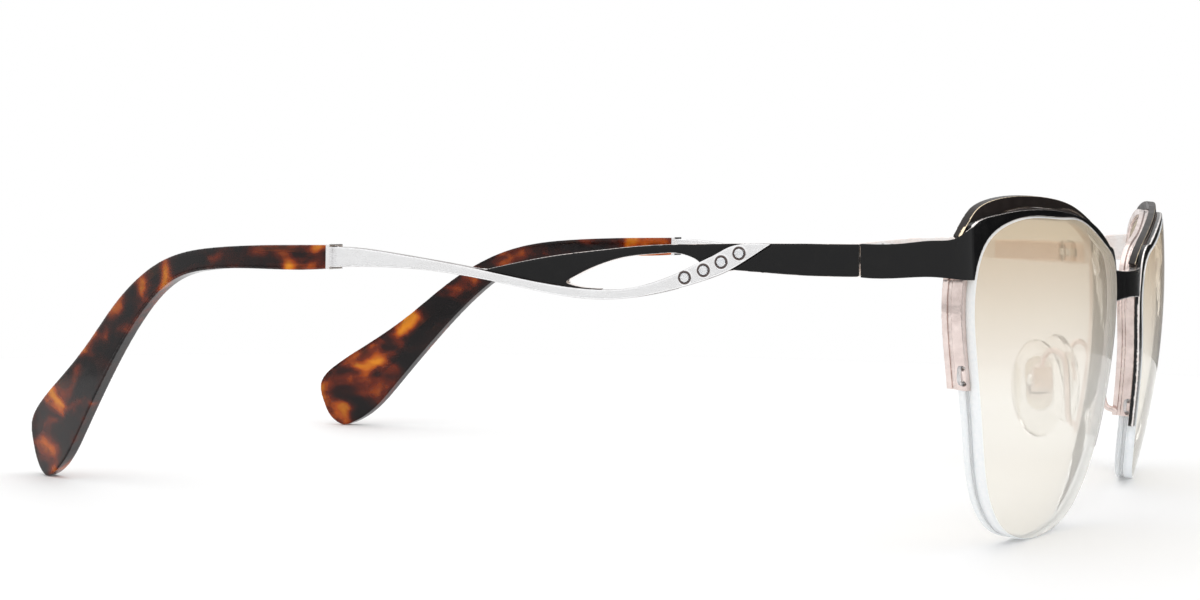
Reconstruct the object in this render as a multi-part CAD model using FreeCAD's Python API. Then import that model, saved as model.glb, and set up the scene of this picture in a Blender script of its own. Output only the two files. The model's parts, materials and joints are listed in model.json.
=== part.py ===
import FreeCAD, Part
import math
import os

V = FreeCAD.Vector

# Half rim eyeglasses, in millimetres. +Z is up, the front faces -Y, the temples run back along +Y.
# The left side (+X) is built and the right side is its mirror image about the YZ plane.
# Each lens has its own frame: h towards the temple, depth into the lens from its front face, v up.

# ---- lenses ----
lens_width = 52.5
lens_height = 40.8
lens_gap = 21.5
lens_front_radius = 116.0
lens_back_radius = 85.0
lens_centre_thickness = 1.8
wrap_angle = 8.4
tilt_angle = 4.9
front_y = -3.9
groove_setback = 1.3
groove_width = 0.6
groove_depth = 0.5

# ---- rim, liner and nylon cord ----
rim_gap = 0.06
rim_thickness = 0.95
rim_front_setback = 0.95
rim_depth = 2.4
rim_temple_end_v = -0.4
rim_nose_end_v = -9.2
ridge_depth = 0.25
ridge_width = 0.5
ridge_share = 0.62
liner_clearance = 0.04
liner_reach = 0.4
liner_end = 5.0
liner_end_gap = 0.2
cord_thickness = 0.5
cord_hole_radius = 0.32
cord_clearance = 0.05
cord_first_hole = 1.1
cord_hole_pitch = 1.6
cord_rise = 0.3
cord_end = 0.12

# ---- front plate and brow wing ----
plate_thickness = 0.8
plate_setback = 0.1
plate_step_width = 0.3
plate_step_depth = 0.15
nose_leg_width = 1.35
nose_leg_end_v = -9.9
temple_leg_end_v = -0.7
temple_leg_extra = 0.35
temple_knee_v = 9.8
plate_end_h = 26.0
brow_thickness = 1.0
brow_gap = 0.04

# ---- endpiece and temple root ----
temple_overhang = 1.05
bend_radius = 3.0
butt_y = 15.9
butt_gap = 0.1
hinge_v = 14.75
endpiece_half_height = 2.0
endpiece_fillet = 0.9
endpiece_overlap = 1.5
endpiece_shoulder = 0.95
endpiece_swell = 0.55

# ---- bridge ----
bridge_thickness = 1.6
bridge_height = 3.7
bridge_flare = 0.55
bridge_bow = 0.2
bridge_v = 10.9
bridge_overlap = 2.5

# ---- hinge ----
bar_thickness = 1.3
hinge_setback = 2.2
hinge_radius = 1.45
hinge_half_height = 1.6
tongue_half_height = 0.55
tongue_half_width = 0.55
tongue_clearance = 0.08
hinge_wall_gap = 0.1
housing_inner_share = 0.85
housing_fillet = 0.9
hinge_sweep_gap = 0.35
hinge_base_length = 4.0
screw_radius = 0.6
screw_head_radius = 1.0
screw_head_height = 0.45
running_clearance = 0.05
fixed_clearance = 0.02
housing_length = 12.4
housing_front_gap = 0.05
housing_wall = 0.5
tongue_length = 5.0
plunger_radius = 0.32
plunger_length = 5.0
plunger_collar_radius = 0.52
plunger_collar_length = 0.6
coil_count = 9
spring_wire_radius = 0.09
spring_room_margin = 0.3
knuckle_front = 1.15
slot_width = 0.25
slot_depth = 0.2

# ---- temple bar, swoosh and tip, as distances behind the butt and heights above the hinge ----
bar_strip_end = 60.0
seam_start = 33.0
seam_end = 51.0
swoosh_proud = 0.3
swoosh_overlay = 0.45
overlay_start = 5.0
swoosh_start = 23.0
collar_length = 0.6
collar_margin = 0.1
tip_start = 71.3
tip_thickness = 3.4
tip_strip_end = 136.0
core_width = 1.5
core_thickness = 1.1
core_end = 124.0
core_clearance = 0.05
crystal_radius = 0.58
crystal_seat_depth = 0.3
crystal_height = 0.28
crystal_table_share = 0.55
bezel_width = 0.2
bezel_height = 0.12

# ---- nose pads ----
pad_arm_radius = 0.42
pad_height = 14.0
pad_width = 7.6
pad_thickness = 2.4
pad_dome = 1.25
pad_tilt = 20.0
pad_splay = 24.0
pad_box = (2.2, 2.7, 3.0)
pad_box_wall = 0.32
pad_core_height = 8.0
pad_core_width = 4.0
pad_core_thickness = 0.6
pad_screw_radius = 0.4
pad_screw_head_radius = 0.75
pad_screw_head_length = 0.5
pad_screw_slot = 0.2
pad_eye_gap = 0.1
pad_rock_gap = 0.5
pad_drop = 0.6

# Outlines, as fractions of the lens's half width and half height, clockwise from the top.
lens_shape = [
    (0.04, 0.995), (0.38, 1.0), (0.70, 0.956), (0.91, 0.82), (1.0, 0.53), (0.966, 0.18),
    (0.853, -0.268), (0.711, -0.634), (0.489, -0.878), (0.188, -0.99), (-0.188, -0.985),
    (-0.489, -0.873), (-0.70, -0.629), (-0.838, -0.259), (-0.925, 0.127), (-0.985, 0.46),
    (-0.925, 0.65), (-0.662, 0.80), (-0.32, 0.927),
]
# The front plate's upper edge beyond the lens, from the endpiece to the nose.
brow_edge = [
    (26.0, 19.0), (24.6, 19.65), (21.8, 20.25), (17.2, 20.85), (13.2, 21.15),
    (9.2, 21.25), (4.9, 21.2), (1.0, 20.95), (-4.5, 20.4), (-9.2, 19.6), (-14.5, 18.2), (-20.0, 16.4),
]
# The brow wing's upper edge, from the temple to the nose.
wing_edge = [
    (27.2, 17.6), (25.6, 19.3), (23.6, 20.9), (21.0, 21.85), (17.0, 22.5), (11.0, 22.8), (4.0, 22.6),
    (-3.0, 21.8), (-9.0, 20.45), (-14.5, 18.95), (-19.9, 17.15), (-24.0, 15.3), (-26.6, 13.4),
]
# Half the temple seen from the side: (distance behind the butt, height above the hinge).
bar_top = [
    (0.0, 1.95), (11.0, 1.8), (20.0, 1.55), (28.0, 1.1), (33.1, 0.5), (38.4, -0.2), (43.8, -1.2),
    (48.6, -2.3),
]
bar_under_swoosh = [(33.0, -3.4), (24.0, -1.0), (21.6, -1.95), (20.5, -2.6), (17.5, -1.9)]
bar_bottom = [(15.6, -1.55), (12.4, -1.75), (8.0, -1.95), (0.0, -1.95)]
swoosh_top = [
    (11.0, 1.75), (14.0, 1.7), (16.2, 1.25), (18.0, 0.3), (20.1, -0.75), (22.6, -2.0), (25.2, -3.05),
    (29.1, -4.1), (33.0, -4.4), (37.0, -4.2), (43.8, -3.3), (50.7, -2.1), (57.0, -1.2), (63.7, -0.35),
    (67.5, 0.0), (71.2, 0.05),
]
swoosh_bottom = [
    (71.2, -2.6), (65.2, -2.4), (60.0, -2.45), (52.1, -3.1), (43.8, -4.4), (38.3, -5.25), (33.0, -5.6),
    (26.4, -4.85), (20.0, -3.1), (16.2, -1.6), (13.7, -0.1), (11.0, 1.65),
]
window = [
    (37.4, -3.7), (35.7, -4.1), (33.0, -4.25), (29.5, -4.0), (25.2, -3.0), (22.6, -1.95), (20.1, -0.75),
    (21.4, 0.0), (25.2, 0.25), (30.4, -0.45), (34.5, -1.9), (36.5, -2.9),
]
tip_top = [
    (71.3, 0.3), (80.0, 0.1), (90.0, -0.4), (97.0, -1.3), (102.0, -2.8), (106.5, -5.1), (111.0, -8.3),
    (118.0, -14.6), (125.0, -20.0), (130.0, -23.7), (132.3, -26.7), (131.8, -30.4), (130.2, -33.5),
    (128.4, -34.7),
]
tip_bottom = [
    (128.4, -34.7), (125.3, -33.2), (120.2, -27.6), (113.0, -18.1), (106.3, -10.5), (101.9, -6.8),
    (97.8, -4.7), (92.0, -3.5), (84.4, -3.1), (71.3, -2.8),
]
core_line = [
    (71.3, -1.25), (85.0, -1.5), (95.0, -2.4), (101.0, -4.5), (106.5, -8.0), (113.0, -14.3), (119.5, -21.0),
    (core_end, -25.5),
]
# The temple's outer face seen from above: (distance behind the butt, distance inside the half span).
temple_plan = [(-4.0, 0.0), (16.0, -0.25), (36.0, -0.4), (56.0, -0.3), (71.0, 0.1), (84.0, 1.8),
               (99.0, 6.1), (114.0, 11.9), (129.0, 18.7), (137.0, 22.5)]
crystal_places = [(21.8, -2.6), (19.4, -1.65), (17.15, -0.6), (14.9, 0.5)]

# The pad arm's bends, from its foot on the rim to the pad box.
pad_arm_bends = [(0.0, 0.0, 0.0), (-0.2, 1.5, 0.9), (-0.5, 1.9, 4.5), (-0.9, 2.3, 8.4), (-1.5, 3.3, 9.8),
                 (-2.3, 4.8, 10.1), (-3.2, 5.9, 9.0), (-3.7, 6.3, 7.4)]
pad_arm_foot_v = -8.0
pad_arm_bite = 0.9

# ---- values that follow from the sizes above ----
temple_half_span = lens_gap / 2.0 + lens_width + temple_overhang
half_width = lens_width / 2.0
half_height = lens_height / 2.0
lens_centre_x = (lens_gap + lens_width) / 2.0
rim_outer = rim_gap + rim_thickness
plate_back = plate_setback + plate_thickness
bar_inner = -bar_thickness
tip_drop = -tip_bottom[0][1]
hinge_inner_face = hinge_radius + hinge_wall_gap
slot_half = tongue_half_height + tongue_clearance
outline_samples = 40
reach = 80.0
overshoot = 1.0


def rotated(point):
    """A direction or point of the lens frame, turned to the object's frame."""
    tilted = FreeCAD.Rotation(V(1, 0, 0), tilt_angle).multVec(point)
    return FreeCAD.Rotation(V(0, 0, 1), wrap_angle).multVec(tilted)


def sag(h, v):
    """How far the lens's front face curves back at (h, v)."""
    return lens_front_radius - math.sqrt(lens_front_radius ** 2 - h ** 2 - v ** 2)


def spline(points, closed=False):
    curve = Part.BSplineCurve()
    curve.interpolate(Points=points, PeriodicFlag=closed)
    return curve


def line(a, b):
    return Part.LineSegment(a, b).toShape()


def chain(points):
    """Straight edges from point to point."""
    return [line(a, b) for a, b in zip(points, points[1:])]


def offset_points(curve, distance, samples, closed):
    """Points beside a curve in the XZ plane, to the left of its direction."""
    first, last = curve.FirstParameter, curve.LastParameter
    steps = samples if closed else samples - 1
    points = []
    for step in range(samples):
        at = first + (last - first) * step / steps
        tangent = curve.tangent(at)[0]
        points.append(curve.value(at) + V(-tangent.z, 0, tangent.x) * distance)
    return points


lens_curve = spline([V(h * half_width, 0, v * half_height) for h, v in lens_shape], closed=True)


def lens_outline(distance):
    """The lens's outline, grown outwards by a distance."""
    if distance == 0:
        return lens_curve
    return spline(offset_points(lens_curve, distance, outline_samples, True), closed=True)


edge_points = offset_points(lens_curve, 0.0, 6 * outline_samples, True)
lens_centre = V(lens_centre_x, front_y, -min(rotated(V(p.x, sag(p.x, p.z), p.z)).z for p in edge_points))


def front_point(h, v, depth=0.0):
    """The point of the object's frame at (h, v), a depth behind the lens's front face."""
    on_face = V(h, sag(h, v), v)
    inward = V(0, lens_front_radius, 0) - on_face
    inward.normalize()
    return rotated(on_face + inward * depth) + lens_centre


def to_front(shape):
    """Places a shape made in the lens frame."""
    placed = shape.copy()
    placed.rotate(V(0, 0, 0), V(1, 0, 0), tilt_angle)
    placed.rotate(V(0, 0, 0), V(0, 0, 1), wrap_angle)
    placed.translate(lens_centre)
    return placed


def edge_at(v, temple_side, distance=0.0):
    """The outline point at a height on one side, grown outwards, and its outward direction."""
    side = 1 if temple_side else -1
    samples = offset_points(lens_curve, 0.0, 6 * outline_samples, True)
    grown = offset_points(lens_curve, 1.0, 6 * outline_samples, True)
    pairs = [(abs(p.z - v), i) for i, p in enumerate(samples) if p.x * side > 0]
    nearest = min(pairs)[1]
    outward = grown[nearest] - samples[nearest]
    return samples[nearest] + outward * distance, outward


def prism(curves, low=-30.0, high=30.0, axis=V(0, 1, 0)):
    """A solid from a closed outline, extruded along an axis."""
    wire = Part.Wire([curve.toShape() if hasattr(curve, "toShape") else curve for curve in curves])
    face = Part.Face(wire)
    face.translate(axis * low)
    return face.extrude(axis * (high - low))


def corner_prism(corners, axis=V(0, 1, 0), low=-30.0, high=30.0):
    """A solid from a polygon's corners, extruded along an axis."""
    face = Part.Face(Part.makePolygon(corners + [corners[0]]))
    face.translate(axis * low)
    return face.extrude(axis * (high - low))


def between(shape, front_depth, back_depth):
    """The part of a shape that lies between two depths behind the lens's front face."""
    centre = V(0, lens_front_radius, 0)
    outer = Part.makeSphere(lens_front_radius - front_depth, centre)
    inner = Part.makeSphere(lens_front_radius - back_depth, centre)
    return shape.common(outer).cut(inner)


def band(inner, outer):
    """A ring-shaped prism between two growths of the lens's outline."""
    return prism([lens_outline(outer)]).cut(prism([lens_outline(inner)]))


def upper_part(temple_end_v, nose_end_v):
    """A tool that keeps what lies above the two ends of the rim."""
    return corner_prism([V(reach, 0, temple_end_v), V(0, 0, temple_end_v), V(0, 0, nose_end_v),
                         V(-reach, 0, nose_end_v), V(-reach, 0, reach), V(reach, 0, reach)])


def make_lens():
    blank = prism([lens_outline(0)]).common(Part.makeSphere(lens_front_radius, V(0, lens_front_radius, 0)))
    hollow = Part.makeSphere(lens_back_radius, V(0, lens_back_radius + lens_centre_thickness, 0))
    blank = blank.cut(hollow)
    groove = between(band(-groove_depth, overshoot), groove_setback, groove_setback + groove_width)
    return to_front(blank.cut(groove))


def cord_holes(radius, low, high):
    """Pins along the cord's four holes, between two growths of the lens's outline."""
    pins = []
    depth = groove_setback + groove_width / 2.0
    for temple_side, end_v in ((True, rim_temple_end_v), (False, rim_nose_end_v)):
        for number in range(2):
            point, outward = edge_at(end_v + cord_first_hole + number * cord_hole_pitch, temple_side, low)
            start = V(point.x, sag(point.x, point.z) + depth, point.z)
            pins.append(Part.makeCylinder(radius, high - low, start, outward))
    return pins


def make_rim():
    ring = between(band(rim_gap, rim_outer), rim_front_setback, rim_front_setback + rim_depth)
    ring = ring.common(upper_part(rim_temple_end_v, rim_nose_end_v))
    channel = between(band(0.0, liner_reach + liner_clearance), groove_setback, groove_setback + groove_width)
    channel = channel.common(upper_part(rim_temple_end_v + liner_end, rim_nose_end_v + liner_end))
    middle = rim_front_setback + rim_depth * ridge_share
    ridge = between(band(rim_outer - ridge_depth, rim_outer + overshoot), middle - ridge_width / 2.0,
                    middle + ridge_width / 2.0)
    ridge = ridge.common(upper_part(rim_temple_end_v - overshoot, rim_nose_end_v - overshoot))
    ring = ring.cut(channel).cut(ridge)
    for hole in cord_holes(cord_hole_radius, -0.5, rim_outer + 0.5):
        ring = ring.cut(hole)
    return to_front(ring)


def make_liner():
    strip = band(-groove_depth + liner_clearance, liner_reach)
    strip = between(strip, groove_setback + liner_clearance, groove_setback + groove_width - liner_clearance)
    above = liner_end + liner_end_gap
    return to_front(strip.common(upper_part(rim_temple_end_v + above, rim_nose_end_v + above)))


def make_cord():
    top_hole = cord_first_hole + cord_hole_pitch
    strip = band(-groove_depth + cord_clearance, 0.0)
    strip = between(strip, groove_setback + cord_clearance, groove_setback + groove_width - cord_clearance)
    above = top_hole + cord_rise
    strip = strip.cut(upper_part(rim_temple_end_v + above, rim_nose_end_v + above))
    for pin in cord_holes(cord_thickness / 2.0, -cord_rise, rim_outer + cord_end):
        strip = strip.fuse(pin)
    return to_front(strip.removeSplitter())


def beside_lens(distance, temple_side, low_v, high_v):
    """Points along one side of the lens, grown outwards, from high to low."""
    side = 1 if temple_side else -1
    samples = offset_points(lens_curve, distance, 3 * outline_samples, True)
    chosen = [point for point in samples if point.x * side > 0 and low_v < point.z < high_v]
    return sorted(chosen, key=lambda point: -point.z)[::6]


def plate_outline():
    """The front plate's outline, closed inside the lens opening."""
    temple_leg, _ = edge_at(temple_leg_end_v, True, rim_outer + temple_leg_extra)
    nose_foot, _ = edge_at(nose_leg_end_v, False, nose_leg_width)
    upper = spline([V(h, 0, v) for h, v in brow_edge])
    brow_end = V(brow_edge[-1][0], 0, brow_edge[-1][1])
    corner = V(plate_end_h, 0, hinge_v - endpiece_half_height)
    inside = beside_lens(nose_leg_width, False, nose_foot.z, brow_end.z - 2 * overshoot)
    outside = beside_lens(rim_outer + temple_leg_extra, True, temple_leg.z + overshoot, temple_knee_v)
    nose = spline([brow_end] + inside + [nose_foot])
    low_edge = spline([corner] + outside + [temple_leg])
    edges = [upper.toShape(), nose.toShape(), low_edge.toShape()]
    edges += chain([nose_foot, V(0, 0, nose_foot.z), V(0, 0, temple_leg_end_v), temple_leg])
    edges.append(line(corner, V(plate_end_h, 0, brow_edge[0][1])))
    return Part.__sortEdges__(edges)


def make_endpiece():
    """The arm of the front plate that bends back to the hinge."""
    near = front_point(plate_end_h - endpiece_overlap, hinge_v, plate_setback)
    edge = front_point(plate_end_h, hinge_v, plate_setback)
    near.z = edge.z
    along = edge - near
    along.normalize()
    lean = front_point(plate_end_h, hinge_v + 1.0, plate_setback) - edge
    lean.normalize()
    angle = math.atan2(along.y, along.x)
    run = (temple_half_span - edge.x - bend_radius * (1 - math.sin(angle))) / math.cos(angle)
    bend_start = edge + along * run
    inward = V(-along.y, along.x, 0)
    centre = bend_start + inward * bend_radius
    middle_angle = (angle + math.pi / 2.0) / 2.0 - math.pi / 2.0

    def rim_of(radius):
        inset = bend_radius - radius
        start = near + inward * inset
        first = bend_start + inward * inset
        middle = centre + V(math.cos(middle_angle), math.sin(middle_angle), 0) * radius
        last = centre + V(radius, 0, 0)
        return start, first, middle, last, V(last.x, butt_y, last.z)

    a, b, c, d, e = rim_of(bend_radius)
    f, g, h, i, j = rim_of(bend_radius - plate_thickness)
    edges = [Part.LineSegment(a, b), Part.Arc(b, c, d), Part.LineSegment(d, e), Part.LineSegment(e, j),
             Part.LineSegment(j, i), Part.Arc(i, h, g), Part.LineSegment(g, f), Part.LineSegment(f, a)]
    face = Part.Face(Part.Wire([edge_line.toShape() for edge_line in edges]))
    face.translate(lean * (-reach / 2.0))
    strip = face.extrude(lean * reach)
    top = front_point(plate_end_h, brow_edge[0][1], plate_setback)
    low = front_point(plate_end_h, hinge_v - endpiece_half_height, plate_setback)
    upper, lower = hinge_z + endpiece_half_height, hinge_z - endpiece_half_height
    ahead, round_bend = top.y - 2 * endpiece_overlap, bend_start.y + bend_radius
    flat_y = (round_bend + butt_y) / 2.0
    top_edge = [V(0, ahead, top.z + endpiece_fillet / 2.0), V(0, top.y, top.z),
                V(0, top.y + endpiece_overlap, upper + endpiece_shoulder),
                V(0, round_bend + endpiece_overlap, upper + endpiece_swell),
                V(0, flat_y, upper + endpiece_swell / 4.0), V(0, butt_y, upper)]
    low_edge = [V(0, butt_y, lower), V(0, flat_y, lower + endpiece_swell / 8.0),
                V(0, round_bend + endpiece_overlap, lower + endpiece_swell / 2.0),
                V(0, low.y + endpiece_overlap / 2.0, low.z), V(0, ahead, low.z)]
    side = Part.Wire([spline(top_edge).toShape(), Part.LineSegment(top_edge[-1], low_edge[0]).toShape(),
                      spline(low_edge).toShape(), Part.LineSegment(low_edge[-1], top_edge[0]).toShape()])
    mask = Part.Face(side).extrude(V(reach, 0, 0))
    return strip.common(mask)


def make_plate():
    opening = prism([lens_outline(rim_gap)])
    plate = between(prism(plate_outline()).cut(opening), plate_setback, plate_back)
    upper = spline([V(h, 0, v) for h, v in brow_edge])
    low = offset_points(upper, -plate_step_width, outline_samples, False)
    around = [low[-1], V(-reach, 0, low[-1].z), V(-reach, 0, reach)]
    around += [V(reach, 0, reach), V(reach, 0, low[0].z), low[0]]
    above = prism([spline(low).toShape()] + chain(around))
    plate = plate.cut(between(above, 0.0, plate_setback + plate_step_depth))
    endpiece = make_endpiece().cut(to_front(opening))
    return to_front(plate).fuse(endpiece).removeSplitter()


def make_wing():
    """The second layer of the brow, behind and above the front plate."""
    upper = [V(h, 0, v) for h, v in wing_edge]
    edges = [spline(upper).toShape()] + chain([upper[-1], V(0, 0, 0), upper[0]])
    body = prism(edges).cut(prism([lens_outline(rim_outer + brow_gap)]))
    return to_front(between(body, plate_back + brow_gap, plate_back + brow_gap + brow_thickness))


def make_bridge():
    top = front_point(-half_width, bridge_v).z + bridge_height / 2.0
    low = top - bridge_height
    high_end, low_end = top + bridge_flare, low - bridge_flare
    side = lens_gap / 2.0 + bridge_overlap
    upper = spline([V(-side, 0, high_end), V(0, 0, top), V(side, 0, high_end)])
    lower = spline([V(side, 0, low_end), V(0, 0, low), V(-side, 0, low_end)])
    right_end = line(V(side, 0, high_end), V(side, 0, low_end))
    left_end = line(V(-side, 0, low_end), V(-side, 0, high_end))
    front = prism([upper.toShape(), right_end, lower.toShape(), left_end])
    outer = front_point(-half_width, bridge_v, plate_setback).y
    ends = outer + bridge_thickness / 4.0

    def bow(inset):
        return [V(-side, ends + inset, 0), V(0, outer - bridge_bow + inset, 0), V(side, ends + inset, 0)]

    first, second = bow(0.0), bow(bridge_thickness)
    edges = [Part.Arc(*first), Part.LineSegment(first[2], second[2])]
    edges += [Part.Arc(*second), Part.LineSegment(second[0], first[0])]
    bar = front.common(prism(edges, low=0.0, high=reach, axis=V(0, 0, 1)))
    seat = to_front(prism([lens_outline(nose_leg_width)]))
    return bar.cut(seat).cut(mirrored(seat))


# ---- temple ----
hinge_z = front_point(plate_end_h, hinge_v).z
hinge_axis = V(temple_half_span - bar_thickness - hinge_inner_face, butt_y - hinge_setback, hinge_z)


def on_side(points, drop=0.0):
    """Side-view points of the temple: the tip's foot comes down by a further drop."""
    placed = []
    for behind, up in points:
        share = max(0.0, (behind - tip_start) / (tip_bottom[0][0] - tip_start))
        placed.append(V(0, butt_y + behind, hinge_z + up - drop * share ** 2))
    return placed


def plan_curve(offset, start, end):
    """A line beside the temple's outer face seen from above, from one distance behind the butt to another."""
    base = spline([V(temple_half_span - inside, butt_y + behind, 0) for behind, inside in temple_plan])
    points = []
    samples = 24
    for step in range(samples):
        wanted = butt_y + start + (end - start) * step / (samples - 1)
        at = base.parameter(V(temple_half_span, wanted, 0))
        for _ in range(8):
            tangent = base.tangent(at)[0]
            at += (wanted - base.value(at).y) / max(tangent.y, 0.5) / base_speed(base, at)
        tangent = base.tangent(at)[0]
        points.append(base.value(at) + V(tangent.y, -tangent.x, 0) * offset)
    return points


def base_speed(curve, at):
    """How fast a curve's point moves with its parameter."""
    return curve.getD1(at)[1].Length


def plan_strip(outer, inner, start, end):
    """A wall that follows the temple seen from above, between two offsets from its outer face."""
    outside, inside = plan_curve(outer, start, end), plan_curve(inner, start, end)
    edges = [spline(outside).toShape(), Part.LineSegment(outside[-1], inside[-1]).toShape(),
             spline(inside).toShape(), Part.LineSegment(inside[0], outside[0]).toShape()]
    return prism(edges, low=-10.0, high=reach, axis=V(0, 0, 1))


def side_prism(edges):
    return prism(edges, low=0.0, high=reach, axis=V(1, 0, 0))


def swoosh_face():
    top, low = on_side(swoosh_top), on_side(swoosh_bottom)
    return [spline(top).toShape(), line(top[-1], low[0]), spline(low).toShape(), line(low[-1], top[0])]


def make_bar():
    """The black half of the temple, with the window and the seat for the swoosh."""
    top = on_side(bar_top)
    seam = [point for point in on_side(swoosh_top) if seam_start <= point.y - butt_y <= seam_end]
    seam = [point + V(0, 0, fixed_clearance) for point in reversed(seam)]
    hidden = on_side(bar_under_swoosh)
    low = on_side(bar_bottom)
    edges = [spline(top).toShape(), line(top[-1], seam[0]), spline(seam).toShape()]
    edges += chain([seam[-1]] + hidden + [low[0]])
    edges += [spline(low).toShape(), line(low[-1], top[0])]
    bar = side_prism(edges).common(plan_strip(0.0, bar_inner, butt_gap, bar_strip_end))
    bar = bar.cut(side_prism([spline(on_side(window), closed=True)]))
    strip = plan_strip(2 * overshoot, -swoosh_overlay - fixed_clearance, overlay_start, bar_strip_end)
    return bar.cut(side_prism(swoosh_face()).common(strip))


def crystal_frames():
    """Each crystal's place on the swoosh's outer face."""
    frames = []
    for behind, up in crystal_places:
        point = plan_curve(swoosh_proud, behind, behind + overshoot)[0]
        frames.append(V(point.x, point.y, hinge_z + up))
    return frames


def make_swoosh():
    face = side_prism(swoosh_face())
    overlay = face.common(plan_strip(swoosh_proud, -swoosh_overlay, overlay_start, swoosh_start + overshoot))
    full = face.common(plan_strip(swoosh_proud, bar_inner, swoosh_start, tip_start + overshoot))
    swoosh = overlay.fuse(full)
    axis = V(1, 0, 0)
    depth = crystal_seat_depth + bezel_height
    for place in crystal_frames():
        seat = place - axis * crystal_seat_depth
        swoosh = swoosh.fuse(Part.makeCylinder(crystal_radius + bezel_width, depth, seat, axis))
        swoosh = swoosh.cut(Part.makeCylinder(crystal_radius + fixed_clearance, reach, seat, axis))
    return swoosh.removeSplitter()


def make_crystals():
    stones = []
    axis = V(1, 0, 0)
    depth = crystal_seat_depth + bezel_height
    for place in crystal_frames():
        base = place - axis * crystal_seat_depth
        girdle = Part.makeCylinder(crystal_radius, depth, base, axis)
        table = crystal_radius * crystal_table_share
        crown = Part.makeCone(crystal_radius, table, crystal_height, base + axis * depth, axis)
        stones.append(girdle.fuse(crown).removeSplitter())
    return Part.makeCompound(stones)


def tip_foot_drop():
    """How much lower than its outline the tip reaches, so that it stands level with the lenses."""
    return hinge_z - tip_drop


def make_core():
    line_points = on_side(core_line, tip_foot_drop())
    return core_solid(line_points, core_width, core_thickness, core_end)


def core_solid(points, width, thickness, end):
    flat = spline([V(point.y, 0, point.z) for point in points])
    samples = 20
    left = [V(0, p.x, p.z) for p in offset_points(flat, width / 2.0, samples, False)]
    right = [V(0, p.x, p.z) for p in offset_points(flat, -width / 2.0, samples, False)]
    edges = [spline(left).toShape(), line(left[-1], right[-1])]
    edges += [spline(right).toShape(), line(right[0], left[0])]
    middle = -bar_thickness / 2.0
    outer, inner = middle + thickness / 2.0, middle - thickness / 2.0
    return side_prism(edges).common(plan_strip(outer, inner, tip_start, end + 2 * overshoot))


def make_tip():
    drop = tip_foot_drop()
    top, low = on_side(tip_top, drop), on_side(tip_bottom, drop)
    face = side_prism([spline(top).toShape(), spline(low).toShape(), line(low[-1], top[0])])
    middle = -bar_thickness / 2.0
    outer, inner = middle + tip_thickness / 2.0, middle - tip_thickness / 2.0
    body = face.common(plan_strip(outer, inner, tip_start - overshoot, tip_strip_end))
    hole = core_solid(on_side(core_line, drop), core_width + 2 * core_clearance,
                      core_thickness + 2 * core_clearance, core_end)
    return body.cut(hole)


def make_collar():
    """The metal ferrule at the front of the tip, around the end of the swoosh."""
    top, low = on_side([tip_top[0], tip_bottom[-1]])
    middle = -bar_thickness / 2.0
    half = tip_thickness / 2.0 + collar_margin
    front, back = butt_y + tip_start - collar_length, butt_y + tip_start
    high_z, low_z = top.z + collar_margin, low.z - collar_margin
    corners = [V(0, front, low_z), V(0, back, low_z), V(0, back, high_z), V(0, front, high_z)]
    block = corner_prism(corners, axis=V(1, 0, 0), low=0.0, high=reach)
    start, end = tip_start - 2 * overshoot, tip_start + 2 * overshoot
    block = block.common(plan_strip(middle + half, middle - half, start, end))
    outer, inner = swoosh_proud + fixed_clearance, bar_inner - fixed_clearance
    sleeve = plan_strip(outer, inner, start - overshoot, end + overshoot)
    return block.cut(side_prism(grown_swoosh_end()).common(sleeve))


def grown_swoosh_end():
    top = on_side([swoosh_top[-2], swoosh_top[-1]])
    low = on_side([swoosh_bottom[0], swoosh_bottom[1]])
    up, ahead = V(0, 0, fixed_clearance), V(0, overshoot / 2.0, 0)
    corners = [top[0] + up, top[1] + up + ahead, low[0] - up + ahead, low[1] - up]
    return chain(corners + [corners[0]])


# ---- hinge ----
def axial(radius, low, high):
    """A cylinder on the hinge's axis, between two heights above its middle."""
    return Part.makeCylinder(radius, high - low, hinge_axis + V(0, 0, low))


def block_at(x_low, x_high, y_low, y_high, z_low, z_high):
    """A box given by its sides relative to the hinge's axis."""
    corner = hinge_axis + V(x_low, y_low, z_low)
    return Part.makeBox(x_high - x_low, y_high - y_low, z_high - z_low, corner)


def make_hinge_base():
    """The block on the inside of the endpiece, with the two outer knuckles."""
    outside = hinge_inner_face + bar_thickness - plate_thickness - fixed_clearance
    base = block_at(0.0, outside, -hinge_base_length, knuckle_front, -hinge_half_height, hinge_half_height)
    base = base.fuse(axial(hinge_radius, -hinge_half_height, hinge_half_height))
    base = base.cut(axial(hinge_radius + hinge_sweep_gap, -slot_half, slot_half))
    base = base.cut(axial(screw_radius + fixed_clearance, -hinge_radius * 2, hinge_radius * 2))
    return base.removeSplitter()


def make_hinge_screw():
    head = axial(screw_head_radius, hinge_half_height, hinge_half_height + screw_head_height)
    shank = axial(screw_radius, -hinge_half_height - 0.1, hinge_half_height)
    floor = hinge_half_height + screw_head_height - slot_depth
    ceiling = floor + 2 * slot_depth
    slot = block_at(-hinge_radius, hinge_radius, -slot_width / 2.0, slot_width / 2.0, floor, ceiling)
    return head.fuse(shank).cut(slot)


def make_carriage():
    """The spring hinge's sliding tongue: the eye on the screw, the flat tongue and the plunger."""
    eye = axial(hinge_radius, -tongue_half_height, tongue_half_height)
    tongue = block_at(-tongue_half_width, tongue_half_width, 0.0, hinge_setback + tongue_length,
                      -tongue_half_height, tongue_half_height)
    root = hinge_axis + V(0, hinge_setback + tongue_length, 0)
    rod = Part.makeCylinder(plunger_radius, plunger_length, root, V(0, 1, 0))
    collar = Part.makeCylinder(plunger_collar_radius, plunger_collar_length,
                               root + V(0, plunger_length, 0), V(0, 1, 0))
    body = eye.fuse(tongue).fuse(rod).fuse(collar)
    return body.cut(axial(screw_radius + running_clearance, -hinge_radius, hinge_radius)).removeSplitter()


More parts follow.
